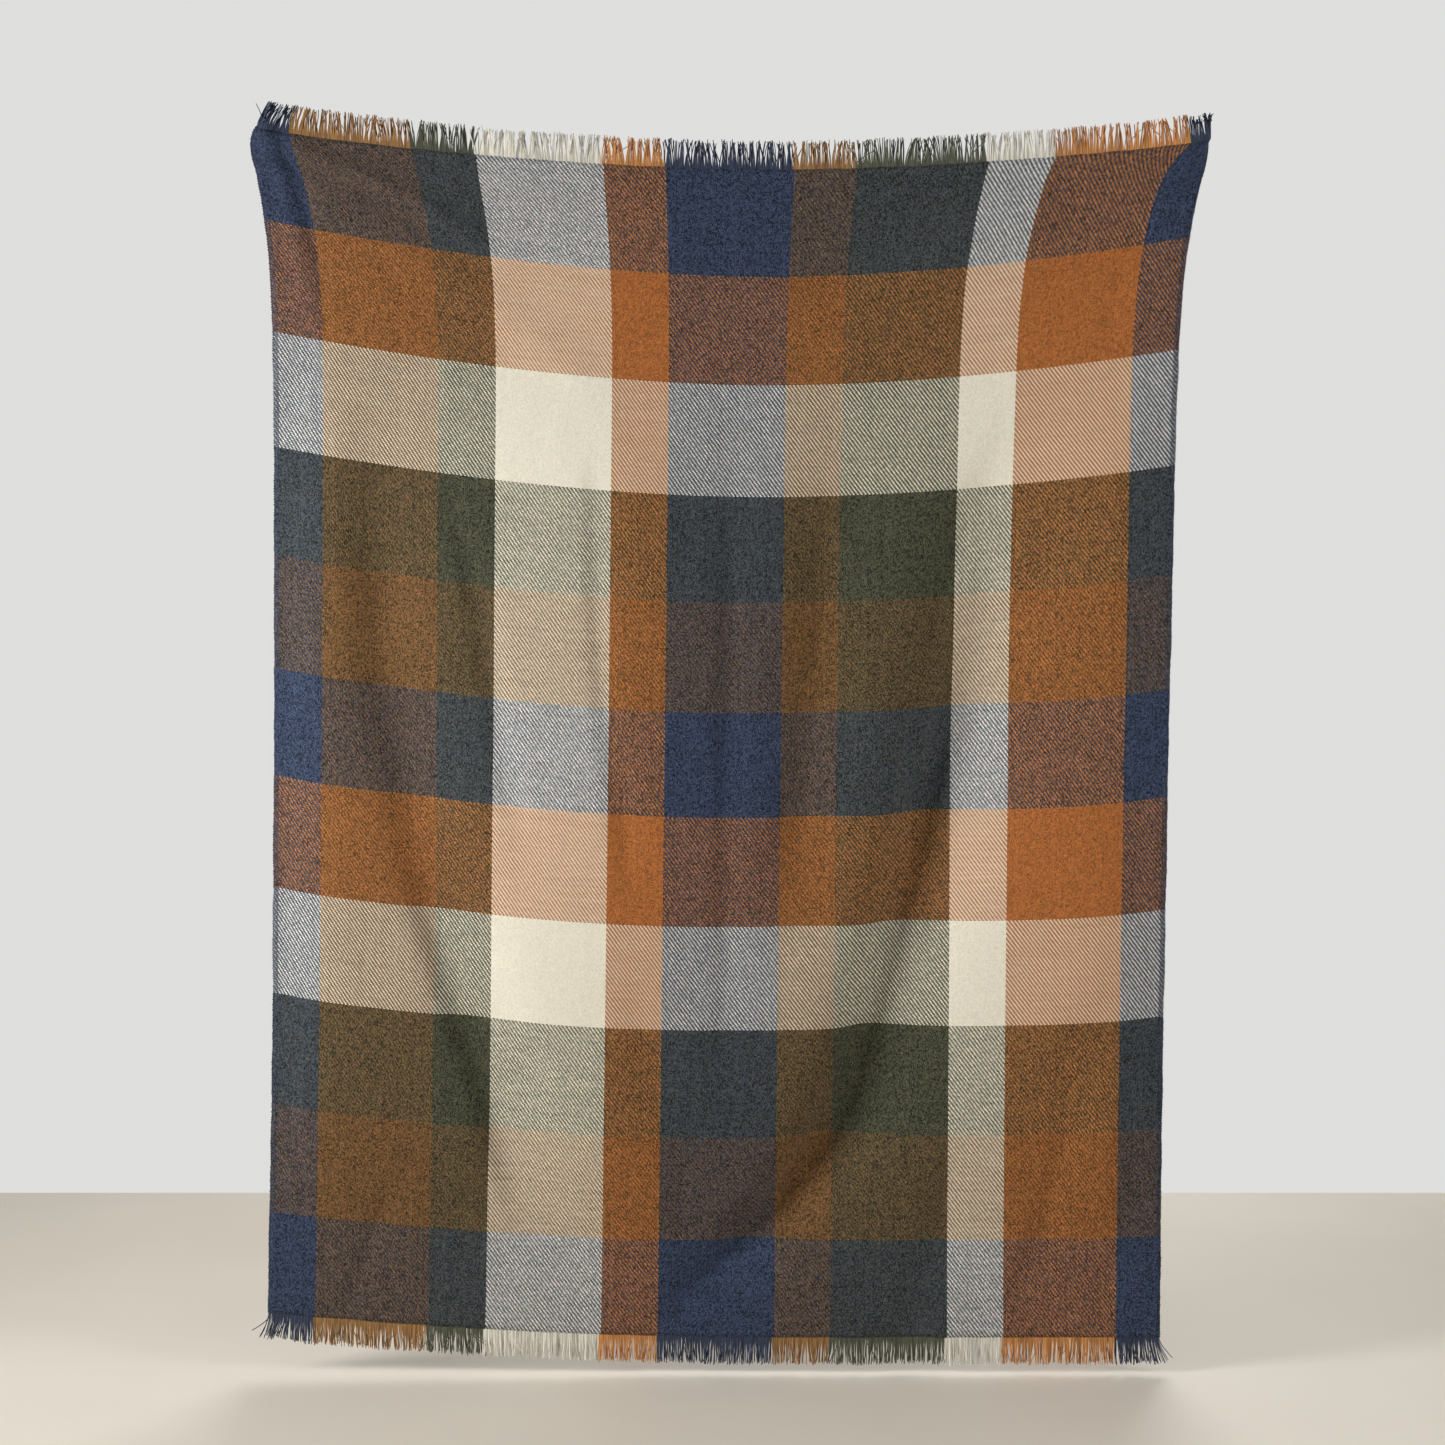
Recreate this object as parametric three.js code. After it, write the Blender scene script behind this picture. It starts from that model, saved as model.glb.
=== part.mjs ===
// A woven plaid throw, held up by its two top corners and hanging open.
//
// Units are millimetres and +Z is up. The front faces -Y and +X is to the right of someone who looks
// at it. The origin is midway between the two held corners.
//
// u runs from 0 at the left selvedge to 1 at the right one, and v from 0 at the top hem to 1 at the
// bottom hem. place(u, v) hangs that point of the flat cloth in space.

import * as THREE from "three";

const { clamp, lerp, smoothstep } = THREE.MathUtils;

// The flat cloth
const WIDTH = 1300; // selvedge to selvedge
const LENGTH = 1630; // hem to hem, without the fringe
const FRINGE_LENGTH = 39; // free warp ends past each hem
const CLOTH_THICKNESS = 2;
const SELVEDGE_WIDTH = 4;
const SELVEDGE_THICKNESS = 3; // the weft turns back there, so the edge is fuller

// The warp stripes from left to right. Each one's free ends are a fringe section of its colour.
const EDGE_STRIPE = 69;
const WIDE_STRIPE = 166;
const NARROW_STRIPE = 83;
const STRIPES = [
  ["navy", EDGE_STRIPE],
  ["ochre", WIDE_STRIPE],
  ["green", NARROW_STRIPE],
  ["cream", WIDE_STRIPE],
  ["rust", NARROW_STRIPE],
  ["navy", WIDE_STRIPE],
  ["ochre", NARROW_STRIPE],
  ["green", WIDE_STRIPE],
  ["cream", NARROW_STRIPE],
  ["rust", WIDE_STRIPE],
  ["navy", EDGE_STRIPE],
];

// How it hangs
const LOWEST_U = 0.545; // the warp line that hangs lowest
const SAG = 37; // of the top hem there, below the held corners
const LEFT_LIFT = { top: 58, under: 82, bottom: 36, power: 1.75 };
const RIGHT_LIFT = { top: 44, under: 60, bottom: 0, power: 1.85 };
const HEM_BLEND = 0.06; // of the length, over which a hem's lift becomes the lift under it
const TOP_SPREAD = 1.012; // widths as a share of WIDTH
const BODY_SPREAD = 0.954;
const BOTTOM_SPREAD = 0.966;
const SPREAD_FADE = 0.08; // of the length, over which the width settles below the corners
const SPREAD_POWER = 1.6;
const TOP_STRETCH = 0.03; // how much more the middle of a hem spreads than its ends
const BOTTOM_STRETCH = 0.014;
const LEAN = -20; // of the bottom hem's middle to the left
const FLAT_TOP = 0.035; // of the length, that the stretched top hem keeps in one plane
const HEM_CALM = 0.22; // share of a fold that is left at the bottom hem
const CALM_FROM = 0.82;

// Folds: how far each one comes forward (or back, if negative), the widths of its left and right
// flanks, and the points (v, u) that its middle line passes. It fades in and out at its two ends.
const FOLDS = [
  { forward: 20, left: 170, right: 120, line: [[0, 0.36], [0.5, 0.38], [1.1, 0.36]] },
  { forward: -14, left: 34, right: 40, line: [[0.18, 0.635], [0.36, 0.614], [0.5, 0.6], [0.72, 0.575]] },
  {
    forward: -36,
    left: 34,
    right: 62,
    line: [[0.2, 0.85], [0.5, 0.755], [0.74, 0.672], [0.8, 0.65], [0.9, 0.556], [1.12, 0.3]],
  },
  {
    forward: -12,
    left: 34,
    right: 60,
    line: [[0.16, 0.86], [0.3, 0.775], [0.4, 0.738], [0.5, 0.718], [0.66, 0.7]],
  },
  { forward: 12, left: 60, right: 60, line: [[0.1, 0.93], [0.5, 0.91], [1.1, 0.9]] },
  { forward: -10, left: 30, right: 34, line: [[0.66, 0.94], [0.82, 0.885], [1.15, 0.87]] },
  {
    forward: -16,
    left: 32,
    right: 48,
    line: [[0.15, 0.11], [0.4, 0.125], [0.56, 0.16], [0.68, 0.208], [0.8, 0.265], [1.05, 0.36]],
  },
  { forward: -18, left: 42, right: 42, line: [[0, 0], [0.5, 0], [1.1, 0]] },
  { forward: -16, left: 38, right: 38, line: [[0, 1], [0.5, 1], [1.1, 1]] },
];

// The fold in half and the fringe
const FOLD_HEIGHT = -860; // of the straight line that the cloth folds on
const FOLD_GAP = 0.4; // between the two halves
const SELVEDGE_GAP = 0.4;
const TOP_FRINGE_GAP = 2.2; // room for a section to swing past its hem
const BOTTOM_FRINGE_GAP = 3;
const SECTION_GAP = 1; // between two sections at the root, on each side
const SECTION_TAPER = 1.5; // that each side of a section loses at its tips

// Mesh steps
const COLUMNS = 34;
const ROWS = 16;
const STEP_WIDTH = 42; // of cloth along a fringe section's root

const COLOURS = {
  plaid: 0x7d6a55,
  navy: 0x333b52,
  ochre: 0x8a6136,
  green: 0x474c3a,
  cream: 0xe1d8c5,
  rust: 0xb0662f,
};
const YARN_ROUGHNESS = 0.92;

// u of each stripe border, from 0 to 1.
const BORDERS = STRIPES.reduce((list, [, width]) => [...list, list.at(-1) + width / WIDTH], [0]);

// The slope of the line through points (v, u) at its point i.
function slopeAt(points, i) {
  const [v0, u0] = points[Math.max(i - 1, 0)];
  const [v1, u1] = points[Math.min(i + 1, points.length - 1)];
  return (u1 - u0) / (v1 - v0);
}

// The u at v of the smooth line through points (v, u).
function lineAt(points, v) {
  const passed = points.filter(([at]) => at <= v).length;
  const i = clamp(passed, 1, points.length - 1);
  const [v0, u0] = points[i - 1];
  const [v1, u1] = points[i];
  const step = v1 - v0;
  const t = clamp((v - v0) / step, 0, 1);
  const eased = t * t * (3 - 2 * t);
  const leaving = slopeAt(points, i - 1) * step * t * (1 - t) ** 2;
  const arriving = slopeAt(points, i) * step * t * t * (t - 1);
  return lerp(u0, u1, eased) + leaving + arriving;
}

// How much of a fold is left at v: none before its line starts or after it ends.
function foldShare(line, v) {
  const start = line[0][0];
  const end = line.at(-1)[0];
  const ramp = (end - start) * 0.3;
  return smoothstep(v, start, start + ramp) * (1 - smoothstep(v, end - ramp, end));
}

// The y of the cloth: folds come forward to -Y. The top hem is stretched flat.
function depthAt(u, v) {
  let forward = 0;
  for (const fold of FOLDS) {
    const offset = (u - lineAt(fold.line, v)) * WIDTH;
    const reach = offset / (offset < 0 ? fold.left : fold.right);
    forward += fold.forward * foldShare(fold.line, v) * Math.exp(-reach * reach / 2);
  }
  const slack = smoothstep(v, FLAT_TOP, 0.3);
  const calm = lerp(1, HEM_CALM, smoothstep(v, CALM_FROM, 1));
  return -forward * slack * calm;
}

// How far a side is lifted above the lowest warp line at v.
function liftAt(lift, v) {
  const under = lerp(lift.under, lift.bottom, v);
  return lerp(lift.top, under, smoothstep(v, 0, HEM_BLEND));
}

function heightAt(u, v) {
  const side = u < LOWEST_U ? LEFT_LIFT : RIGHT_LIFT;
  const span = u < LOWEST_U ? LOWEST_U : 1 - LOWEST_U;
  const reach = Math.abs(u - LOWEST_U) / span;
  return -SAG - LENGTH * v + liftAt(side, v) * reach ** side.power;
}

function acrossAt(u, v) {
  const body = lerp(BODY_SPREAD, BOTTOM_SPREAD, v * v);
  const fade = Math.exp(-((v / SPREAD_FADE) ** SPREAD_POWER));
  const spread = body + (TOP_SPREAD - body) * fade;
  const middle = 1 - Math.abs(2 * u - 1) ** 6; // 1 in the middle of the width, 0 at the selvedges
  const stretch = 1 + (TOP_STRETCH * fade + BOTTOM_STRETCH * v ** 4) * middle;
  return (u - 0.5) * WIDTH * spread * stretch + LEAN * v;
}

const place = (u, v) => new THREE.Vector3(acrossAt(u, v), depthAt(u, v), heightAt(u, v));

// The v at which warp line u crosses a height.
function rowAt(u, height) {
  let v = 0.5;
  for (let i = 0; i < 12; i++) v += (heightAt(u, v) - height) / LENGTH;
  return v;
}

// A slab bent to a surface: surface(s, t) gives its middle for s and t from 0 to 1.
function bentSlab(thickness, columns, rows, surface) {
  const slab = new THREE.BoxGeometry(1, thickness, 1, columns, 1, rows);
  const points = slab.attributes.position;
  for (let i = 0; i < points.count; i++) {
    const middle = surface(points.getX(i) + 0.5, 0.5 - points.getZ(i));
    points.setXYZ(i, middle.x, middle.y + points.getY(i), middle.z);
  }
  return slab;
}

// The cloth between two warp lines, from the row startRow(u) down to the row endRow(u).
function clothSlab(uLeft, uRight, startRow, endRow, thickness, columns) {
  return bentSlab(thickness, columns, ROWS, (s, t) => {
    const u = lerp(uLeft, uRight, s);
    return place(u, lerp(startRow(u), endRow(u), t));
  });
}

// The free warp ends of one stripe. side is 1 for the top fringe, which stands up, and -1 for the
// bottom one, which hangs down.
function fringeSlab(stripe, side) {
  const hem = side > 0 ? 0 : 1;
  const gap = side > 0 ? TOP_FRINGE_GAP : BOTTOM_FRINGE_GAP;
  const width = STRIPES[stripe][1];
  const middle = (BORDERS[stripe] + BORDERS[stripe + 1]) / 2;
  return bentSlab(CLOTH_THICKNESS, Math.ceil(width / STEP_WIDTH), 1, (s, down) => {
    const t = side > 0 ? 1 - down : down; // from the root to the tips
    const kept = width - 2 * SECTION_GAP - 2 * SECTION_TAPER * t;
    const point = place(middle + ((s - 0.5) * kept) / WIDTH, hem);
    point.z += side * (gap + t * (FRINGE_LENGTH - gap));
    return point;
  });
}

function yarn(colour) {
  return new THREE.MeshStandardMaterial({
    color: COLOURS[colour],
    roughness: YARN_ROUGHNESS,
    metalness: 0,
  });
}

function piece(name, geometry, colour) {
  const mesh = new THREE.Mesh(geometry, yarn(colour));
  mesh.name = name;
  return mesh;
}

// One half of the throw: its cloth and a selvedge on each side.
function half(name, startRow, endRow) {
  const edge = SELVEDGE_WIDTH / WIDTH;
  const inner = edge + SELVEDGE_GAP / WIDTH;
  const group = new THREE.Group();
  const cloth = clothSlab(inner, 1 - inner, startRow, endRow, CLOTH_THICKNESS, COLUMNS);
  const left = clothSlab(0, edge, startRow, endRow, SELVEDGE_THICKNESS, 1);
  const right = clothSlab(1 - edge, 1, startRow, endRow, SELVEDGE_THICKNESS, 1);
  group.add(piece(`cloth_${name}`, cloth, "plaid"));
  group.add(piece(`selvedge_left_${name}`, left, "navy"));
  group.add(piece(`selvedge_right_${name}`, right, "navy"));
  return group;
}

function fringe(name, side) {
  const group = new THREE.Group();
  STRIPES.forEach(([colour], i) => {
    const number = String(i + 1).padStart(2, "0");
    group.add(piece(`fringe_${name}_${number}_${colour}`, fringeSlab(i, side), colour));
  });
  return group;
}

const topHem = () => 0;
const bottomHem = () => 1;
const aboveFold = (u) => rowAt(u, FOLD_HEIGHT + FOLD_GAP / 2);
const belowFold = (u) => rowAt(u, FOLD_HEIGHT - FOLD_GAP / 2);

const throwBlanket = new THREE.Group();
throwBlanket.add(half("upper", topHem, aboveFold));
throwBlanket.add(half("lower", belowFold, bottomHem));
throwBlanket.add(fringe("top", 1));
throwBlanket.add(fringe("bottom", -1));

export default throwBlanket;
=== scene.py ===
"""A woven plaid throw that hangs open from its two top corners.

Everything is in metres in the row frame: +Z up, the front faces -Y, and the origin is midway between the
two held corners. u runs from 0 at the left selvedge to 1 at the right one, and v from 0 at the top hem
to 1 at the bottom hem. drape(u, v) hangs points of the flat cloth in space, on the CAD model's own shape
with finer creases added.
"""

import math

import bpy
import numpy as np
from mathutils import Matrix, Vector, noise


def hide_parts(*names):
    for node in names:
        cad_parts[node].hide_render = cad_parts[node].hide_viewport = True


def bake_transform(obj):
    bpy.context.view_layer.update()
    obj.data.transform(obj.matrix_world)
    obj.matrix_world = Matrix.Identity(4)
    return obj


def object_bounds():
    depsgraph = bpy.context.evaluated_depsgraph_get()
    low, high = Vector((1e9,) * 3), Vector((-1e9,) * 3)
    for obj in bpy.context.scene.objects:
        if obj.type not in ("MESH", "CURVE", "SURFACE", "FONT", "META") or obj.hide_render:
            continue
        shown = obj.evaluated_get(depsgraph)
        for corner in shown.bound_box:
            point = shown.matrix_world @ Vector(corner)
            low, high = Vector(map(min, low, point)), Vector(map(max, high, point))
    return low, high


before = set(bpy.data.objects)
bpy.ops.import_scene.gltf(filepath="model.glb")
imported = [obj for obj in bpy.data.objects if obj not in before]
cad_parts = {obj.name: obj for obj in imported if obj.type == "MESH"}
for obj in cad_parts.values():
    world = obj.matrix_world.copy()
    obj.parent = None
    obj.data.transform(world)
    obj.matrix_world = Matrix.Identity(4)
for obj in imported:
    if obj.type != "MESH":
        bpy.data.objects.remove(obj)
CAD_BOX = [list(corner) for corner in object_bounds()]

# The flat cloth
WIDTH = 1.300
LENGTH = 1.630
FRINGE_LENGTH = 0.039
CLOTH_THICKNESS = 0.0011
END_PITCH = 0.0014  # from one warp yarn to the next
PICK_PITCH = 0.0018  # from one weft yarn to the next
STRAND_PITCH = 0.0010  # from one free yarn of the fringe to the next
YARN_RADIUS = 0.00070

EDGE, WIDE, NARROW = 0.069, 0.166, 0.083
STRIPES = [
    ("navy", EDGE),
    ("ochre", WIDE),
    ("green", NARROW),
    ("cream", WIDE),
    ("rust", NARROW),
    ("navy", WIDE),
    ("ochre", NARROW),
    ("green", WIDE),
    ("cream", NARROW),
    ("rust", WIDE),
    ("navy", EDGE),
]
END_BAND = 0.142
BAND_ORDER = ["navy", "rust", "cream", "green", "ochre"]
BAND_COUNT = 11
BORDERS = np.cumsum([0] + [width for _, width in STRIPES]) / WIDTH

# How it hangs, as in part.mjs
LOWEST_U = 0.545
SAG = 0.037
LEFT_LIFT = {"top": 0.058, "under": 0.082, "bottom": 0.036, "power": 1.75}
RIGHT_LIFT = {"top": 0.044, "under": 0.060, "bottom": 0.0, "power": 1.85}
HEM_BLEND = 0.06
TOP_SPREAD = 1.012
BODY_SPREAD = 0.954
BOTTOM_SPREAD = 0.966
SPREAD_FADE = 0.08
SPREAD_POWER = 1.6
TOP_STRETCH = 0.03
BOTTOM_STRETCH = 0.014
LEAN = -0.020
FLAT_TOP = 0.035
SLACK_FROM = 0.3  # the broad folds are at full depth below this
FOLD_RAMP = 0.3  # share of a fold's line over which it fades in or out
EDGE_FADE = 0.01  # share of the cloth over which an edge's stray dies out
HEM_CALM = 0.22
CALM_FROM = 0.82

# Folds: (forward, left flank, right flank, [(v, u), ...]), as in part.mjs.
FOLDS = [
    (0.020, 0.170, 0.120, [(0, 0.36), (0.5, 0.38), (1.1, 0.36)]),
    (-0.014, 0.034, 0.040, [(0.18, 0.635), (0.36, 0.614), (0.5, 0.6), (0.72, 0.575)]),
    (
        -0.036,
        0.034,
        0.062,
        [(0.2, 0.85), (0.5, 0.755), (0.74, 0.672), (0.8, 0.65), (0.9, 0.556), (1.12, 0.3)],
    ),
    (-0.012, 0.034, 0.060, [(0.16, 0.86), (0.3, 0.775), (0.4, 0.738), (0.5, 0.718), (0.66, 0.7)]),
    (0.012, 0.060, 0.060, [(0.1, 0.93), (0.5, 0.91), (1.1, 0.9)]),
    (-0.010, 0.030, 0.034, [(0.66, 0.94), (0.82, 0.885), (1.15, 0.87)]),
    (
        -0.016,
        0.032,
        0.048,
        [(0.15, 0.11), (0.4, 0.125), (0.56, 0.16), (0.68, 0.208), (0.8, 0.265), (1.05, 0.36)],
    ),
    (-0.018, 0.042, 0.042, [(0, 0), (0.5, 0), (1.1, 0)]),
    (-0.016, 0.038, 0.038, [(0, 1), (0.5, 1), (1.1, 1)]),
]

# Narrow creases that the CAD model leaves out, in the same form.
CREASES = [
    (-0.0035, 0.012, 0.018, [(0.4, 0.768), (0.5, 0.735), (0.58, 0.708), (0.68, 0.678)]),
    (-0.0035, 0.012, 0.022, [(0.68, 0.678), (0.78, 0.638), (0.86, 0.584), (0.97, 0.47)]),
    (
        -0.0095,
        0.016,
        0.030,
        [(0.38, 0.77), (0.5, 0.732), (0.62, 0.691), (0.74, 0.652), (0.86, 0.584), (1.02, 0.41)],
    ),
    (-0.0060, 0.030, 0.030, [(0.2, 0), (0.55, 0), (0.95, 0)]),
    (-0.0060, 0.009, 0.022, [(0.22, 0.81), (0.36, 0.737), (0.44, 0.715), (0.62, 0.695)]),
    (-0.0056, 0.011, 0.020, [(0.2, 0.357), (0.42, 0.365), (0.56, 0.392), (0.68, 0.41)]),
    (-0.0044, 0.018, 0.026, [(0.66, 0.4), (0.76, 0.42), (0.84, 0.455), (0.98, 0.49)]),
    (-0.0056, 0.010, 0.018, [(0.15, 0.508), (0.45, 0.505), (0.7, 0.505), (0.86, 0.5)]),
    (-0.0036, 0.010, 0.020, [(0.26, 0.62), (0.45, 0.592), (0.62, 0.57)]),
    (-0.0070, 0.010, 0.020, [(0.58, 0.15), (0.68, 0.185), (0.74, 0.21), (0.8, 0.24), (0.94, 0.295)]),
    (-0.0050, 0.012, 0.018, [(0.25, 0.18), (0.36, 0.22), (0.46, 0.246), (0.62, 0.29)]),
    (-0.0040, 0.008, 0.014, [(0.86, 0.15), (0.93, 0.115), (1.02, 0.08)]),
    (-0.0044, 0.008, 0.016, [(0.76, 0.9), (0.88, 0.87), (1.0, 0.815)]),
    (-0.0040, 0.010, 0.016, [(0.78, 0.955), (0.9, 0.95), (1.02, 0.93)]),
    (-0.0050, 0.016, 0.024, [(0.8, 0.78), (0.92, 0.74), (1.06, 0.68)]),
    (0.0030, 0.010, 0.012, [(-0.05, 0.012), (0.04, 0.025), (0.16, 0.04)]),
    (-0.0030, 0.008, 0.010, [(-0.05, 0.03), (0.05, 0.048), (0.2, 0.062)]),
    (0.0034, 0.010, 0.012, [(-0.05, 0.985), (0.05, 0.968), (0.18, 0.955)]),
    (-0.0034, 0.009, 0.012, [(-0.05, 0.962), (0.06, 0.935), (0.22, 0.915)]),
]

# Soft ridges that the pull of a held corner makes: (forward, flank, [(u, v), ...]).
SWAGS = [
    (0.0050, 0.014, [(-0.06, -0.01), (0.07, 0.016), (0.16, 0.045), (0.3, 0.1)]),
    (0.0110, 0.022, [(0.62, 0.12), (0.8, 0.052), (0.92, 0.016), (1.06, -0.01)]),
    (0.0040, 0.024, [(0.5, 0.21), (0.72, 0.15), (0.88, 0.085), (1.04, 0.02)]),
    (0.0030, 0.024, [(-0.04, 0.02), (0.12, 0.075), (0.26, 0.14), (0.42, 0.21)]),
]

RUMPLE = [(0.0007, 22.0), (0.0004, 55.0)]  # (height, waves per metre) of the cloth's slight unevenness
HEM_WANDER = 0.0010  # a hem or selvedge strays this far from a true line

# The held corners: how far the cloth is drawn towards the hand, and how far above the hand it leans in.
GATHER = {"left": 0.004, "right": 0.034}
GATHER_FROM_EDGE = 0.06
GATHER_FADE = 0.016
CORNER_LEAN = {"left": 0.016, "right": 0.007}
LEAN_FROM_EDGE = 0.02
LEAN_FADE = 0.012

CLOTH_STEP = 0.0068  # mesh step

SEED = 7


# ---------------------------------------------------------------- the hang of the cloth


def smoothstep(x, low, high):
    t = np.clip((x - low) / (high - low), 0, 1)
    return t * t * (3 - 2 * t)


def line_at(points, x):
    """The value at each x of the smooth line through points (x, value)."""
    xs, values = np.array(points, float).T
    wide_x = np.concatenate([xs[:1], xs, xs[-1:]])
    wide_values = np.concatenate([values[:1], values, values[-1:]])
    slopes = (wide_values[2:] - wide_values[:-2]) / (wide_x[2:] - wide_x[:-2])
    i = np.clip(np.searchsorted(xs, x, side="right"), 1, len(xs) - 1)
    step = xs[i] - xs[i - 1]
    t = np.clip((x - xs[i - 1]) / step, 0, 1)
    eased = t * t * (3 - 2 * t)
    leaving = slopes[i - 1] * step * t * (1 - t) ** 2
    arriving = slopes[i] * step * t * t * (t - 1)
    return values[i - 1] + (values[i] - values[i - 1]) * eased + leaving + arriving


def share_of(points, x):
    """How much of a fold is left at x: it fades in and out at the two ends of its line."""
    start, end = points[0][0], points[-1][0]
    ramp = (end - start) * FOLD_RAMP
    return smoothstep(x, start, start + ramp) * (1 - smoothstep(x, end - ramp, end))


def fold_height(fold, u, v):
    forward, left, right, line = fold
    offset = (u - line_at(line, v)) * WIDTH
    reach = offset / np.where(offset < 0, left, right)
    return forward * share_of(line, v) * np.exp(-reach * reach / 2)


def swag_height(swag, u, v):
    forward, flank, line = swag
    reach = (v - line_at(line, u)) * LENGTH / flank
    return forward * share_of(line, u) * np.exp(-reach * reach / 2)


def rumple(u, v):
    total = np.zeros(len(u))
    for height, waves in RUMPLE:
        spots = zip(u * WIDTH * waves, v * LENGTH * waves, strict=True)
        total += height * np.array([noise.noise(Vector((x, y, waves))) for x, y in spots])
    return total


def wander(along, seed):
    """A slight stray of an edge, along its length in metres."""
    return HEM_WANDER * np.array([noise.noise(Vector((x * 28, seed, 0.5))) for x in along])


def depth_at(u, v):
    broad = sum(fold_height(fold, u, v) for fold in FOLDS)
    slack = smoothstep(v, FLAT_TOP, SLACK_FROM)
    calm = 1 - (1 - HEM_CALM) * smoothstep(v, CALM_FROM, 1)
    fine = sum(fold_height(crease, u, v) for crease in CREASES)
    fine = fine + sum(swag_height(swag, u, v) for swag in SWAGS)
    return -(broad * slack * calm + fine + rumple(u, v))


def lift_at(lift, v):
    under = lift["under"] + (lift["bottom"] - lift["under"]) * v
    return lift["top"] + (under - lift["top"]) * smoothstep(v, 0, HEM_BLEND)


def height_at(u, v):
    left = lift_at(LEFT_LIFT, v) * (np.clip(LOWEST_U - u, 0, 1) / LOWEST_U) ** LEFT_LIFT["power"]
    right = lift_at(RIGHT_LIFT, v) * (np.clip(u - LOWEST_U, 0, 1) / (1 - LOWEST_U)) ** RIGHT_LIFT["power"]
    return -SAG - LENGTH * v + left + right


def corner_shift(from_edge, v, side):
    """How far the cloth near a held corner moves towards its hand."""
    reach = from_edge / GATHER_FROM_EDGE
    gathered = GATHER[side] * reach * np.exp(1 - reach) * np.exp(-v / GATHER_FADE)
    leaning = CORNER_LEAN[side] * np.exp(-from_edge / LEAN_FROM_EDGE) * np.exp(-v / LEAN_FADE)
    return gathered - leaning


def across_at(u, v):
    body = BODY_SPREAD + (BOTTOM_SPREAD - BODY_SPREAD) * v * v
    fade = np.exp(-((np.maximum(v, 0) / SPREAD_FADE) ** SPREAD_POWER))
    spread = body + (TOP_SPREAD - body) * fade
    stretch = 1 + (TOP_STRETCH * fade + BOTTOM_STRETCH * v**4) * (1 - np.abs(2 * u - 1) ** 6)
    pulled = corner_shift(1 - u, v, "right") - corner_shift(u, v, "left")
    return (u - 0.5) * WIDTH * spread * stretch + LEAN * v + pulled


def drape(u, v):
    """Points of the flat cloth, hung in space, as rows of x, y and z."""
    u, v = np.broadcast_arrays(np.asarray(u, float), np.asarray(v, float))
    edge = np.exp(-u / EDGE_FADE) - np.exp(-(1 - u) / EDGE_FADE)
    hem = np.exp(-v / EDGE_FADE) - np.exp(-(1 - v) / EDGE_FADE)
    x = across_at(u, v) + edge * wander(v * LENGTH, 3.0)
    z = height_at(u, v) + hem * wander(u * WIDTH, 8.0)
    return np.column_stack([x, depth_at(u, v), z])


# ---------------------------------------------------------------- meshes


def new_mesh(name, points, quads, uv=None):
    """A smooth-shaded mesh object. uv has one row for each point."""
    mesh = bpy.data.meshes.new(name)
    mesh.from_pydata(points.tolist(), [], quads.tolist())
    mesh.shade_smooth()
    if uv is not None:
        layer = mesh.uv_layers.new(name="flat")
        corners = np.zeros(len(mesh.loops), np.int64)
        mesh.loops.foreach_get("vertex_index", corners)
        layer.data.foreach_set("uv", uv[corners].astype(np.float32).ravel())
    obj = bpy.data.objects.new(name, mesh)
    bpy.context.scene.collection.objects.link(obj)
    return obj


def grid_quads(columns, rows):
    """Quads over points in rows, which face the front."""
    first = np.arange(rows - 1)[:, None] * columns + np.arange(columns - 1)
    first = first.ravel()
    return np.column_stack([first, first + columns, first + columns + 1, first + 1])


def make_cloth():
    columns = round(WIDTH / CLOTH_STEP) + 1
    rows = round(LENGTH / CLOTH_STEP) + 1
    v, u = np.meshgrid(np.linspace(0, 1, rows), np.linspace(0, 1, columns), indexing="ij")
    u, v = u.ravel(), v.ravel()
    flat = np.column_stack([u * WIDTH, v * LENGTH])
    cloth = new_mesh("throw_cloth", drape(u, v), grid_quads(columns, rows), flat)
    thick = cloth.modifiers.new("thickness", "SOLIDIFY")
    thick.thickness = CLOTH_THICKNESS
    thick.offset = 0
    return cloth


def tubes(paths, radii, sides):
    """Points, quads and uv of round tubes: paths is (tubes, steps, 3) and radii is (tubes, steps)."""
    count, steps, _ = paths.shape
    tangent = np.gradient(paths, axis=1)
    tangent /= np.linalg.norm(tangent, axis=2, keepdims=True)
    across = np.cross(tangent, [0.0, 1.0, 0.0])
    across /= np.linalg.norm(across, axis=2, keepdims=True)
    out = np.cross(across, tangent)
    turn = np.arange(sides) * 2 * math.pi / sides
    ring = across[:, :, None] * np.cos(turn)[:, None] + out[:, :, None] * np.sin(turn)[:, None]
    points = paths[:, :, None] + ring * radii[:, :, None, None]
    first = np.arange(count * steps).reshape(count, steps)[:, :-1, None] * sides + np.arange(sides)
    beside = first - np.arange(sides) + (np.arange(sides) + 1) % sides
    walls = np.stack([first, beside, beside + sides, first + sides], axis=-1).reshape(-1, 4)
    step_length = np.linalg.norm(np.diff(paths, axis=1), axis=2)
    along = np.concatenate([np.zeros((count, 1)), np.cumsum(step_length, axis=1)], axis=1)
    along = np.repeat(along[:, :, None], sides, axis=2)
    around = np.broadcast_to(turn / (2 * math.pi), along.shape)
    return points.reshape(-1, 3), walls, np.column_stack([around.ravel(), along.ravel()])


def yarn_mesh(name, paths, radii, sides, shades):
    """One object of many yarns. shades is a number from 0 to 1 for each yarn's own tone."""
    points, quads, uv = tubes(paths, radii, sides)
    obj = new_mesh(name, points, quads, uv)
    tone = obj.data.attributes.new("tone", "FLOAT", "POINT")
    tone.data.foreach_set("value", np.repeat(shades, paths.shape[1] * sides).astype(np.float32))
    return obj


# ---------------------------------------------------------------- fringe

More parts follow.
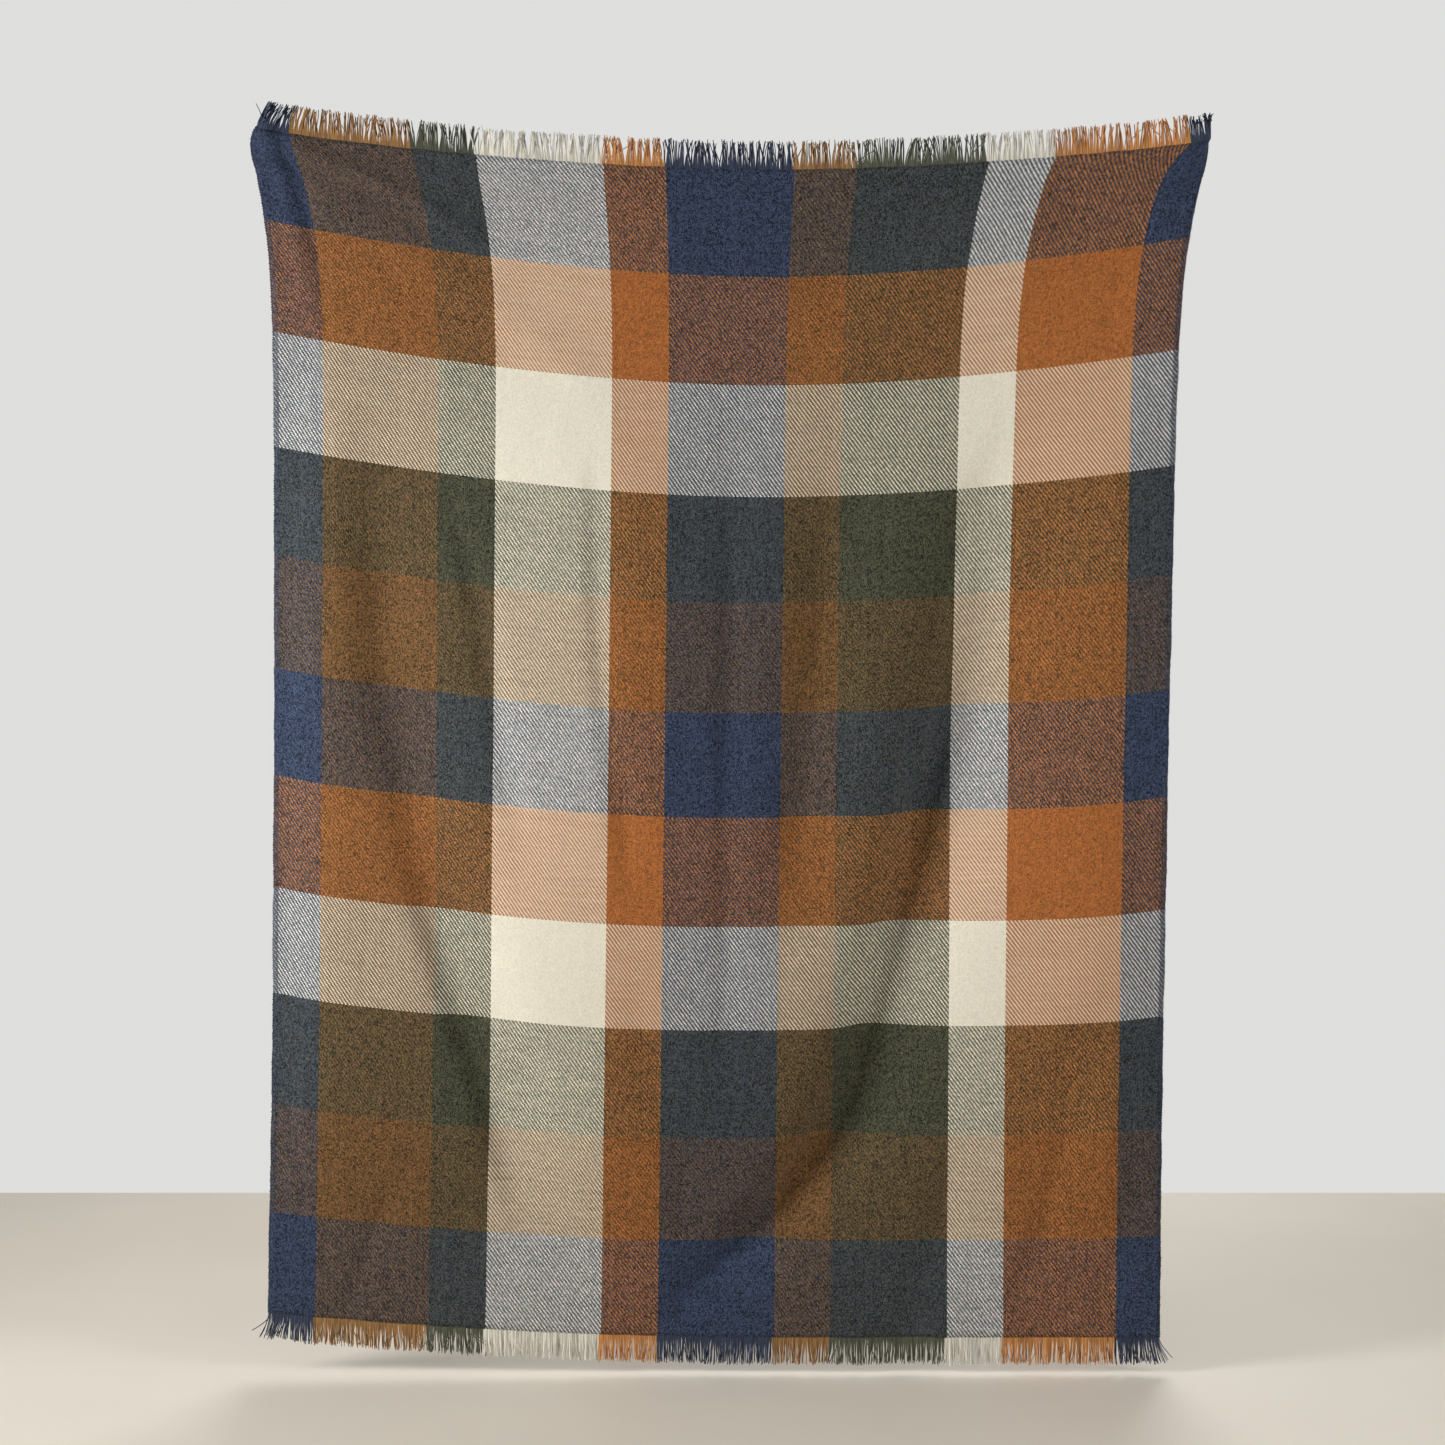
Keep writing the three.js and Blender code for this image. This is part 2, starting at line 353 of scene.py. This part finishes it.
STRAND_STEPS = 9
STRAND_SIDES = 5
MOST_BEND = 0.6  # radians
ROOT_INSIDE = 0.0008  # a free end starts this far inside the hem
STRAND_WAVE = 0.0006
STRAY_SHARE = 0.04  # of the free ends, which lean out of their clump


def clumps(count, random):
    """The clump that each of count neighbouring yarns has fallen into."""
    sizes = random.integers(2, 6, count)
    return np.repeat(np.arange(count), sizes)[:count]


def corner_lean(u, top):
    """How far a yarn leans to the right, as a share of its length, near the two ends of a hem."""
    if top:
        return 0.5 * np.exp(-((u / 0.06) ** 2)) - 0.16 * np.exp(-(1 - u) / 0.1)
    return 0.4 * np.exp(-(1 - u) / 0.015) - 0.36 * np.exp(-u / 0.02)


def corner_curl(u, top):
    """How far a yarn's tip at the gathered top right corner curls over to the front, in radians."""
    return 2.2 * smoothstep(u, 0.94, 0.955) * (1.0 if top else 0.0)


def fringe_strands(stripe, top, random):
    """Paths and radii of one stripe's free warp ends. They gather in clumps towards their tips."""
    width = STRIPES[stripe][1]
    count = round(width / STRAND_PITCH)
    u = BORDERS[stripe] + (np.arange(count) + 0.5) / count * width / WIDTH
    root = drape(u, np.full(count, 0.0 if top else 1.0))
    side = 1.0 if top else -1.0
    loose = 1.0 if top else 0.5  # standing yarns fall about more than hanging ones
    clump = clumps(count, random)
    groups = clump[-1] + 1
    centre = np.array([root[clump == k, 0].mean() for k in range(groups)])[clump]
    pull = random.uniform(0, 0.45 * loose, groups)[clump]
    lean = random.normal(0, 0.1 * loose, groups)[clump] + random.normal(0, 0.04, count)
    bend = random.normal(0, 0.28 * loose, groups)[clump] + random.normal(0, 0.12, count)
    length = FRINGE_LENGTH * random.uniform(0.88, 1.03, count)
    strays = random.random(count) < STRAY_SHARE
    lean[strays] += random.normal(0, 0.3, strays.sum())
    pull[strays] = 0
    lean = lean + corner_lean(u, top)
    bend = np.clip(bend, -MOST_BEND, MOST_BEND)
    t = np.linspace(0, 1, STRAND_STEPS)[None, :]
    gathered = smoothstep(t, 0.1, 0.8)
    waves = random.uniform(4, 9, count)[:, None]
    wave = STRAND_WAVE * t * np.sin(t * waves + random.uniform(0, 6, count)[:, None])
    x = root[:, :1] + (centre - root[:, 0])[:, None] * pull[:, None] * gathered
    x = x + lean[:, None] * length[:, None] * t**1.5 + wave
    upright = np.sqrt(1 - np.clip(lean, -0.7, 0.7) ** 2)[:, None]
    middle = (t[:, 1:] + t[:, :-1]) / 2
    angle = bend[:, None] * middle + corner_curl(u, top)[:, None] * middle**3
    step = length[:, None] / (STRAND_STEPS - 1)
    start = np.zeros((count, 1))
    forward = np.concatenate([start, np.cumsum(step * np.sin(angle), axis=1)], axis=1)
    rise = np.concatenate([start, np.cumsum(step * np.cos(angle), axis=1)], axis=1)
    y = root[:, 1:2] - forward + wave
    z = root[:, 2:3] + side * (rise * upright - ROOT_INSIDE)
    radii = YARN_RADIUS * (1 - 0.2 * smoothstep(t, 0.6, 1)) * random.uniform(0.85, 1.15, count)[:, None]
    return np.stack([x, y, z], axis=-1), radii


def make_fringe(end, top, random):
    """The eleven sections of one hem. Each stands in for its own body of the CAD model, which is hidden.
    """
    made = []
    for stripe, (colour, _) in enumerate(STRIPES):
        body = f"fringe_{end}_{stripe + 1:02d}"
        paths, radii = fringe_strands(stripe, top, random)
        shades = random.random(len(paths))
        ends = yarn_mesh(f"yarn_ends_{end}_{stripe + 1:02d}_{colour}", paths, radii, STRAND_SIDES, shades)
        ends.data.materials.append(materials[colour])
        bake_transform(ends)
        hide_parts(f"{body}_{colour}")
        made.append(ends)
    return made


# ---------------------------------------------------------------- selvedges

LOOP_STEPS = 6
LOOP_SIDES = 5
LOOP_REACH = 0.0012
LOOP_INSIDE = 0.0004
LOOP_DEPTH = 0.0004
LOOP_RADIUS = YARN_RADIUS * 1.15


def make_selvedge(side, random):
    """The weft's turns round the outermost warp end: one small loop for every two picks."""
    count = int(LENGTH / (2 * PICK_PITCH))
    turn = np.linspace(0, math.pi, LOOP_STEPS)[None, :]
    middle = (np.arange(count)[:, None] + 0.5) / count
    v = middle - np.cos(turn) * PICK_PITCH * 0.75 / LENGTH
    edge = 0.0 if side == "left" else 1.0
    out = -1.0 if side == "left" else 1.0
    spots = drape(np.full(v.size, edge), v.ravel()).reshape(count, LOOP_STEPS, 3)
    reach = LOOP_REACH * random.uniform(0.55, 1.25, count)[:, None] * np.sin(turn)
    spots[:, :, 0] += out * (reach - LOOP_INSIDE)
    spots[:, :, 1] += np.cos(turn) * LOOP_DEPTH
    radii = np.full((count, LOOP_STEPS), LOOP_RADIUS)
    points, quads, _ = tubes(spots, radii, LOOP_SIDES)
    flat = np.column_stack([np.full(len(points), edge * WIDTH), np.repeat(v.ravel() * LENGTH, LOOP_SIDES)])
    selvedge = new_mesh(f"weft_turns_{side}", points, quads, flat)
    selvedge.data.materials.append(materials["selvedge"])
    fold_over(selvedge)
    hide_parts(f"selvedge_{side}_upper", f"selvedge_{side}_lower")
    return selvedge


def fold_over(piece):
    """The piece's placement is baked into its mesh."""
    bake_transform(piece)


# ---------------------------------------------------------------- materials

YARN_COLOURS = {
    "navy": (0.038, 0.053, 0.089),
    "rust": (0.375, 0.152, 0.042),
    "cream": (0.780, 0.738, 0.625),
    "green": (0.062, 0.065, 0.041),
    "ochre": (0.149, 0.087, 0.034),
}

# The woven yarn colours made paler with painted light for the fringe: a free yarn is lit from all round
# and from behind, and nothing shades it.
FREE_YARN_COLOURS_WITH_PAINTED_LIGHT = {
    "navy": (0.052, 0.068, 0.118),
    "rust": (0.680, 0.310, 0.100),
    "cream": (0.900, 0.860, 0.750),
    "green": (0.130, 0.135, 0.090),
    "ochre": (0.400, 0.215, 0.080),
}


class Nodes:
    """A shorthand for building one material's node tree."""

    def __init__(self, name):
        self.material = bpy.data.materials.new(name)
        self.material.use_nodes = True
        self.tree = self.material.node_tree
        self.shader = self.tree.nodes["Principled BSDF"]

    def put(self, value, socket):
        if isinstance(value, bpy.types.NodeSocket):
            self.tree.links.new(value, socket)
        else:
            socket.default_value = value

    def node(self, kind, **settings):
        made = self.tree.nodes.new(kind)
        for name, value in settings.items():
            setattr(made, name, value)
        return made

    def math(self, operation, *values):
        made = self.node("ShaderNodeMath", operation=operation)
        for value, socket in zip(values, made.inputs):
            self.put(value, socket)
        return made.outputs[0]

    def scaled(self, value, factor, offset=0.0):
        return self.math("MULTIPLY_ADD", value, factor, offset)

    def mix(self, share, first, second):
        made = self.node("ShaderNodeMix", data_type="RGBA")
        self.put(share, made.inputs[0])
        self.put(first, made.inputs[6])
        self.put(second, made.inputs[7])
        return made.outputs[2]

    def blend_value(self, share, first, second):
        made = self.node("ShaderNodeMix", data_type="FLOAT")
        self.put(share, made.inputs[0])
        self.put(first, made.inputs[2])
        self.put(second, made.inputs[3])
        return made.outputs[0]

    def tint(self, colour, brightness):
        """The colour times a brightness."""
        made = self.node("ShaderNodeVectorMath", operation="SCALE")
        self.put(colour, made.inputs[0])
        self.put(brightness, made.inputs[3])
        return made.outputs[0]

    def multiply(self, first, second):
        made = self.node("ShaderNodeVectorMath", operation="MULTIPLY")
        self.put(first, made.inputs[0])
        self.put(second, made.inputs[1])
        return made.outputs[0]

    def weighted_sum(self, terms):
        """The sum of (value - middle) * weight over terms of (value, middle, weight)."""
        total = -sum(middle * weight for _, middle, weight in terms)
        for value, _, weight in terms:
            total = self.math("MULTIPLY_ADD", value, weight, total)
        return total

    def white_noise(self, vector):
        made = self.node("ShaderNodeTexWhiteNoise", noise_dimensions="3D")
        self.put(vector, made.inputs["Vector"])
        return made.outputs["Value"], made.outputs["Color"]

    def luminance(self, colour):
        made = self.node("ShaderNodeRGBToBW")
        self.put(colour, made.inputs[0])
        return made.outputs[0]

    def vector(self, x, y, z=0.0):
        made = self.node("ShaderNodeCombineXYZ")
        for value, socket in zip((x, y, z), made.inputs):
            self.put(value, socket)
        return made.outputs[0]

    def noise(self, vector, scale, detail=2.0):
        made = self.node("ShaderNodeTexNoise")
        self.put(vector, made.inputs["Vector"])
        made.inputs["Scale"].default_value = scale
        made.inputs["Detail"].default_value = detail
        return made.outputs[0]

    def bands(self, position, colours, borders):
        """Flat bands of colour along position, which runs from 0 to 1."""
        made = self.node("ShaderNodeValToRGB")
        made.color_ramp.interpolation = "CONSTANT"
        stops = made.color_ramp.elements
        while len(stops) < len(colours):
            stops.new(1.0)
        for stop, colour, border in zip(stops, colours, borders, strict=False):
            stop.position = border
            stop.color = (*YARN_COLOURS[colour], 1)
        self.put(position, made.inputs[0])
        return made.outputs[0]

    def flat(self):
        """The x and y of the flat cloth, in metres from its top left corner."""
        uv = self.node("ShaderNodeUVMap", uv_map="flat")
        parts = self.node("ShaderNodeSeparateXYZ")
        self.put(uv.outputs[0], parts.inputs[0])
        return parts.outputs[0], parts.outputs[1]

    def finish(self, colour, height, depth, strength, roughness, sheen):
        bump = self.node("ShaderNodeBump")
        bump.inputs["Strength"].default_value = strength
        bump.inputs["Distance"].default_value = depth
        self.put(height, bump.inputs["Height"])
        self.put(colour, self.shader.inputs["Base Color"])
        self.put(bump.outputs[0], self.shader.inputs["Normal"])
        self.put(roughness, self.shader.inputs["Roughness"])
        self.shader.inputs["Specular IOR Level"].default_value = 0.25
        self.shader.inputs["Sheen Weight"].default_value = sheen
        self.shader.inputs["Sheen Roughness"].default_value = 0.45
        return self.material


def band_colours():
    return [BAND_ORDER[i % len(BAND_ORDER)] for i in range(BAND_COUNT)]


def band_borders():
    middle = (LENGTH - 2 * END_BAND) / (BAND_COUNT - 2)
    starts = [0.0] + [END_BAND + middle * i for i in range(BAND_COUNT - 1)]
    return [start / LENGTH for start in starts]


def float_height(nodes, across, along):
    """The rounded top of one yarn's float: across and along run from 0 to 1 over it."""
    arch = nodes.math("POWER", nodes.math("SINE", nodes.scaled(along, math.pi)), 0.6)
    off = nodes.math("POWER", nodes.scaled(across, 2.0, -1.0), 2.0)
    crown = nodes.math("SQRT", nodes.math("MAXIMUM", nodes.math("SUBTRACT", 1.0, off), 0.0))
    return nodes.math("MULTIPLY", nodes.scaled(arch, 0.5, 0.5), nodes.scaled(crown, 0.7, 0.3))


def covers(nodes, across, thickness):
    """Whether a yarn of this thickness, from 0 to 1 of its pitch, covers the point across it."""
    off = nodes.math("ABSOLUTE", nodes.scaled(across, 2.0, -1.0))
    return nodes.math("LESS_THAN", off, thickness)


SELVEDGE_WIDTH = 0.007  # the warp is packed closer here
SELVEDGE_WEFT = 0.35  # share of the weft that still shows there
BOUNCE = 0.17  # share of a yarn's light that has bounced off its crossing yarn
TWILL_REPEAT = 4.0  # yarns, over two and under two
DARK_YARN = 0.035  # a pair of yarns much paler than this shows little of the weave's shade
PLY_TURN = 0.0028  # length in which a ply winds once round its yarn
SELVEDGE_NAVY = 0.75  # share of the selvedge's colour that is its navy warp end


def yarn_tone(nodes, number, along, seed):
    """A yarn's own tone: it drifts along the yarn, and neighbours from one spool share some of it."""
    own = nodes.noise(nodes.vector(nodes.scaled(number, 3.7), nodes.scaled(along, 14.0), seed), 1.0)
    shared = nodes.noise(nodes.vector(nodes.scaled(number, 0.31), nodes.scaled(along, 5.0), seed + 9), 1.0)
    return nodes.math("ADD", nodes.scaled(own, 0.5), nodes.scaled(shared, 0.5))


def woven_colours(nodes, end_number, pick_number):
    """The colours of the warp end and of the weft pick that cross at a point."""
    warp_colour = nodes.bands(
        nodes.scaled(end_number, END_PITCH / WIDTH, 0.5 * END_PITCH / WIDTH),
        [colour for colour, _ in STRIPES],
        BORDERS,
    )
    weft_colour = nodes.bands(
        nodes.scaled(pick_number, PICK_PITCH / LENGTH, 0.5 * PICK_PITCH / LENGTH),
        band_colours(),
        band_borders(),
    )
    return warp_colour, weft_colour


def top_yarn_covers(nodes, x, across, tones, warp_on_top):
    """Whether the yarn on top covers the point. Beside it, the yarn below shows."""
    across_end, across_pick = across
    warp_tone, weft_tone = tones
    warp_covers = covers(nodes, across_end, nodes.scaled(warp_tone, -0.5, 1.2))
    from_edge = nodes.math("MINIMUM", x, nodes.math("SUBTRACT", WIDTH, x))
    packed = nodes.math("LESS_THAN", from_edge, SELVEDGE_WIDTH)
    weft_thickness = nodes.scaled(weft_tone, -1.1, 1.38)
    weft_thickness = nodes.math("MULTIPLY", weft_thickness, nodes.scaled(packed, SELVEDGE_WEFT - 1.0, 1.0))
    weft_covers = covers(nodes, across_pick, weft_thickness)
    return nodes.blend_value(warp_on_top, weft_covers, warp_covers)


def weave_height(nodes, step, across, warp_on_top, gap):
    """The height of the weave's surface, from 0 in the gaps to 1 on top of a float."""
    across_end, across_pick = across
    along_warp = nodes.scaled(nodes.math("ADD", nodes.math("SUBTRACT", 1.0, step), across_pick), 0.5)
    along_weft = nodes.scaled(nodes.math("ADD", nodes.math("SUBTRACT", step, 2.0), across_end), 0.5)
    warp_height = float_height(nodes, across_end, along_warp)
    weft_height = float_height(nodes, across_pick, along_weft)
    top_height = nodes.blend_value(warp_on_top, weft_height, warp_height)
    return nodes.math("MULTIPLY", top_height, nodes.scaled(gap, -0.6, 1.0))


def float_glint(nodes, end_number, pick_number, warp_on_top):
    """Each float catches the light in its own way."""
    along_twill = nodes.math("SUBTRACT", end_number, pick_number)
    float_number = nodes.math("FLOOR", nodes.math("DIVIDE", along_twill, TWILL_REPEAT))
    yarn_number = nodes.blend_value(warp_on_top, pick_number, end_number)
    glint, _ = nodes.white_noise(nodes.vector(yarn_number, float_number, warp_on_top))
    return glint


def fibres(nodes, end, pick, warp_on_top):
    """Fine streaks that lie along the yarn on top."""
    warp_fibre = nodes.noise(nodes.vector(nodes.scaled(end, 3.0), nodes.scaled(pick, 0.9)), 1.0, 3.0)
    weft_fibre = nodes.noise(nodes.vector(nodes.scaled(end, 0.9), nodes.scaled(pick, 3.0), 9.0), 1.0, 3.0)
    return nodes.blend_value(warp_on_top, weft_fibre, warp_fibre)


def weave_strength(nodes, paleness):
    """Pale yarns pass light on into the gaps, so they show less of the weave's shade than dark ones."""
    return nodes.scaled(nodes.math("EXPONENT", nodes.scaled(paleness, -1 / DARK_YARN)), 0.7, 0.07)


def bounced_colour(nodes, shows_warp, warp_colour, weft_colour):
    """The colour that shows, with some hue from light that has bounced off the crossing yarn."""
    shown = nodes.mix(shows_warp, weft_colour, warp_colour)
    crossing = nodes.mix(shows_warp, warp_colour, weft_colour)
    hue = nodes.tint(crossing, nodes.math("DIVIDE", 1.0, nodes.luminance(crossing)))
    return nodes.multiply(shown, nodes.mix(BOUNCE, (1, 1, 1, 1), hue))


def woven_material():
    """A 2/2 twill of striped warp and banded weft, worked out yarn by yarn from the flat cloth."""
    nodes = Nodes("woven_plaid")
    x, y = nodes.flat()
    end = nodes.math("DIVIDE", x, END_PITCH)
    pick = nodes.math("DIVIDE", y, PICK_PITCH)
    end_number, pick_number = nodes.math("FLOOR", end), nodes.math("FLOOR", pick)
    across = nodes.math("FRACT", end), nodes.math("FRACT", pick)
    step = nodes.math("FLOORED_MODULO", nodes.math("SUBTRACT", end_number, pick_number), TWILL_REPEAT)
    warp_on_top = nodes.math("LESS_THAN", step, 1.5)

    tones = yarn_tone(nodes, end_number, y, 1.0), yarn_tone(nodes, pick_number, x, 4.0)
    gap = nodes.math("SUBTRACT", 1.0, top_yarn_covers(nodes, x, across, tones, warp_on_top))
    shows_warp = nodes.math("ABSOLUTE", nodes.math("SUBTRACT", warp_on_top, gap))
    height = weave_height(nodes, step, across, warp_on_top, gap)
    warp_colour, weft_colour = woven_colours(nodes, end_number, pick_number)

    knot, knot_colour = nodes.white_noise(nodes.vector(end_number, pick_number, 5.0))
    heather = nodes.noise(nodes.vector(x, y), 260.0, 3.0)
    tone_painted_shade_and_glint = nodes.weighted_sum(
        [
            (nodes.blend_value(shows_warp, tones[1], tones[0]), 0.5, 2.6),
            (fibres(nodes, end, pick, warp_on_top), 0.5, 1.2),
            (float_glint(nodes, end_number, pick_number, warp_on_top), 0.5, 0.8),
            (knot, 0.5, 2.4),
            (heather, 0.5, 0.4),
            # Painted shade: the weave is darker in the gaps between yarns and towards the sides and ends
            # of each float.
            (height, 0.6, 1.2),
        ]
    )
    paleness = nodes.math("MULTIPLY", nodes.luminance(warp_colour), nodes.luminance(weft_colour))
    strength = weave_strength(nodes, paleness)
    brightness = nodes.math("MAXIMUM", nodes.math("MULTIPLY_ADD", tone_painted_shade_and_glint, strength, 1.0), 0.12)
    # Painted bounce light: the weave is a little brighter where both yarns are pale and darker where a
    # pale yarn crosses a dark one.
    brightness = nodes.math("MULTIPLY", brightness, nodes.scaled(paleness, 0.45, 0.89))

    colour = bounced_colour(nodes, shows_warp, warp_colour, weft_colour)
    speckle = nodes.mix(nodes.scaled(strength, 0.2), (1, 1, 1, 1), nodes.tint(knot_colour, 2.0))
    colour = nodes.tint(nodes.multiply(colour, speckle), brightness)
    roughness = nodes.scaled(heather, 0.12, 0.84)
    return nodes.finish(colour, height, depth=0.0004, strength=0.7, roughness=roughness, sheen=0.12)


def yarn_material(colour):
    """A loose two-ply yarn: the plies wind round it, and each yarn has its own tone."""
    nodes = Nodes(f"{colour}_yarn")
    around, along = nodes.flat()
    tone = nodes.node("ShaderNodeAttribute", attribute_name="tone").outputs["Fac"]
    winding = nodes.math("ADD", nodes.scaled(along, 1 / PLY_TURN), around)
    ply = nodes.math("ABSOLUTE", nodes.math("SINE", nodes.scaled(winding, 2 * math.pi)))
    spot = nodes.vector(nodes.scaled(around, 3.0), nodes.scaled(along, 900.0), nodes.scaled(tone, 50.0))
    fibre = nodes.noise(spot, 1.0, 3.0)
    brightness = nodes.math("MULTIPLY", nodes.scaled(tone, 0.8, 0.6), nodes.scaled(fibre, 0.5, 0.75))
    # Painted shade: the yarn is darker in the grooves between its plies.
    brightness = nodes.math("MULTIPLY", brightness, nodes.scaled(ply, 0.35, 0.72))
    tinted = nodes.tint(FREE_YARN_COLOURS_WITH_PAINTED_LIGHT[colour], brightness)
    height = nodes.math("ADD", ply, nodes.scaled(fibre, 0.5))
    roughness = nodes.scaled(fibre, 0.15, 0.48)
    return nodes.finish(tinted, height, depth=0.0002, strength=0.8, roughness=roughness, sheen=0.03)


def selvedge_material():
    """The weft colour of each band, dulled by the navy warp end that the weft turns round."""
    nodes = Nodes("selvedge_yarn")
    _, y = nodes.flat()
    weft = nodes.bands(nodes.scaled(y, 1 / LENGTH), band_colours(), band_borders())
    fibre = nodes.noise(nodes.vector(nodes.scaled(y, 900.0), 0.0), 1.0, 3.0)
    dulled = nodes.mix(SELVEDGE_NAVY, weft, (*YARN_COLOURS["navy"], 1))
    colour = nodes.tint(dulled, nodes.scaled(fibre, 0.7, 0.55))
    roughness = nodes.scaled(fibre, 0.15, 0.8)
    return nodes.finish(colour, fibre, depth=0.0002, strength=0.8, roughness=roughness, sheen=0.1)


# ---------------------------------------------------------------- stage

FLOOR_GAP = 0.012  # under the longest fringe
FLOOR_LEVEL = CAD_BOX[0][2] - FLOOR_GAP
FLOOR_BEHIND = 1.07
FLOOR_FRONT = -9.0
FLOOR_HALF_WIDTH = 9.0
BACKDROP = (0.735, 0.735, 0.728)
LIGHT_FROM_ABOVE = 0.85
LIGHT_ALL_ROUND = 0.05
OVERHEAD_POWER = 3.0  # how closely the world's light gathers round straight above
FLOOR_COLOUR = (0.76, 0.70, 0.60)
CAMERA_DISTANCE = 4.47
CAMERA_HEIGHT = -0.3765
CAMERA_SIDE = -0.008
CAMERA_TILT = 5.35  # degrees down
CAMERA_LENS = 80.7


def floor_material():
    nodes = Nodes("pale_floor")
    grain = nodes.noise(nodes.node("ShaderNodeNewGeometry").outputs["Position"], 3.0, 5.0)
    colour = nodes.tint(FLOOR_COLOUR, nodes.scaled(grain, 0.12, 0.94))
    return nodes.finish(colour, grain, depth=0.0005, strength=0.1, roughness=0.55, sheen=0.0)


def make_floor():
    points = np.array(
        [
            [-FLOOR_HALF_WIDTH, FLOOR_FRONT, FLOOR_LEVEL],
            [FLOOR_HALF_WIDTH, FLOOR_FRONT, FLOOR_LEVEL],
            [FLOOR_HALF_WIDTH, FLOOR_BEHIND, FLOOR_LEVEL],
            [-FLOOR_HALF_WIDTH, FLOOR_BEHIND, FLOOR_LEVEL],
        ]
    )
    floor = new_mesh("floor", points, np.array([[0, 1, 2, 3]]))
    floor.data.materials.append(floor_material())


def make_world():
    """A pale backdrop that the camera sees, and a softer light, mostly from straight above."""
    world = bpy.data.worlds.new("studio")
    bpy.context.scene.world = world
    world.use_nodes = True
    tree = world.node_tree
    seen = tree.nodes["Background"]
    seen.inputs["Color"].default_value = (*BACKDROP, 1)
    light = tree.nodes.new("ShaderNodeBackground")
    direction = tree.nodes.new("ShaderNodeTexCoord")
    upward = tree.nodes.new("ShaderNodeSeparateXYZ")
    overhead = tree.nodes.new("ShaderNodeMath")
    overhead.operation = "POWER"
    overhead.inputs[1].default_value = OVERHEAD_POWER
    strength = tree.nodes.new("ShaderNodeMapRange")
    strength.inputs["To Min"].default_value = LIGHT_ALL_ROUND
    strength.inputs["To Max"].default_value = LIGHT_FROM_ABOVE
    tree.links.new(direction.outputs["Generated"], upward.inputs[0])
    tree.links.new(upward.outputs[2], overhead.inputs[0])
    tree.links.new(overhead.outputs[0], strength.inputs[0])
    tree.links.new(strength.outputs[0], light.inputs["Strength"])
    chooser = tree.nodes.new("ShaderNodeMixShader")
    path = tree.nodes.new("ShaderNodeLightPath")
    output = tree.nodes["World Output"]
    tree.links.new(path.outputs["Is Camera Ray"], chooser.inputs[0])
    tree.links.new(light.outputs[0], chooser.inputs[1])
    tree.links.new(seen.outputs[0], chooser.inputs[2])
    tree.links.new(chooser.outputs[0], output.inputs["Surface"])


def soft_light(name, place, target, size, power, spread=180):
    data = bpy.data.lights.new(name, "AREA")
    data.shape = "SQUARE"
    data.size = size
    data.energy = power
    data.spread = math.radians(spread)
    lamp = bpy.data.objects.new(name, data)
    lamp.location = place
    lamp.rotation_euler = (Vector(target) - Vector(place)).to_track_quat("-Z", "Y").to_euler()
    bpy.context.scene.collection.objects.link(lamp)


def make_lights():
    middle = (0.0, 0.0, -0.8)
    soft_light("key", (-2.3, -0.95, -0.35), middle, 0.9, 23.0, spread=110)
    soft_light("rim", (2.0, -1.2, -0.3), middle, 1.0, 8.1, spread=110)
    soft_light("fill", (1.4, -3.8, 1.2), middle, 2.4, 7.0)
    soft_light("back", (0.6, 3.4, 1.2), middle, 2.4, 85.0)


def make_camera():
    data = bpy.data.cameras.new("camera")
    data.lens = CAMERA_LENS
    camera = bpy.data.objects.new("camera", data)
    camera.location = (CAMERA_SIDE, -CAMERA_DISTANCE, CAMERA_HEIGHT)
    camera.rotation_euler = (math.radians(90 - CAMERA_TILT), 0, 0)
    bpy.context.scene.collection.objects.link(camera)
    bpy.context.scene.camera = camera


# ---------------------------------------------------------------- the scene

bpy.context.scene.view_settings.view_transform = "Standard"
make_world()
make_lights()
make_camera()
make_floor()

random = np.random.default_rng(SEED)
materials = {colour: yarn_material(colour) for colour in YARN_COLOURS}
materials["selvedge"] = selvedge_material()

cloth = make_cloth()
cloth.data.materials.append(woven_material())
fold_over(cloth)
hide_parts("cloth_upper", "cloth_lower")

edges = [make_selvedge(side, random) for side in ("left", "right")]
fringes = make_fringe("top", True, random) + make_fringe("bottom", False, random)
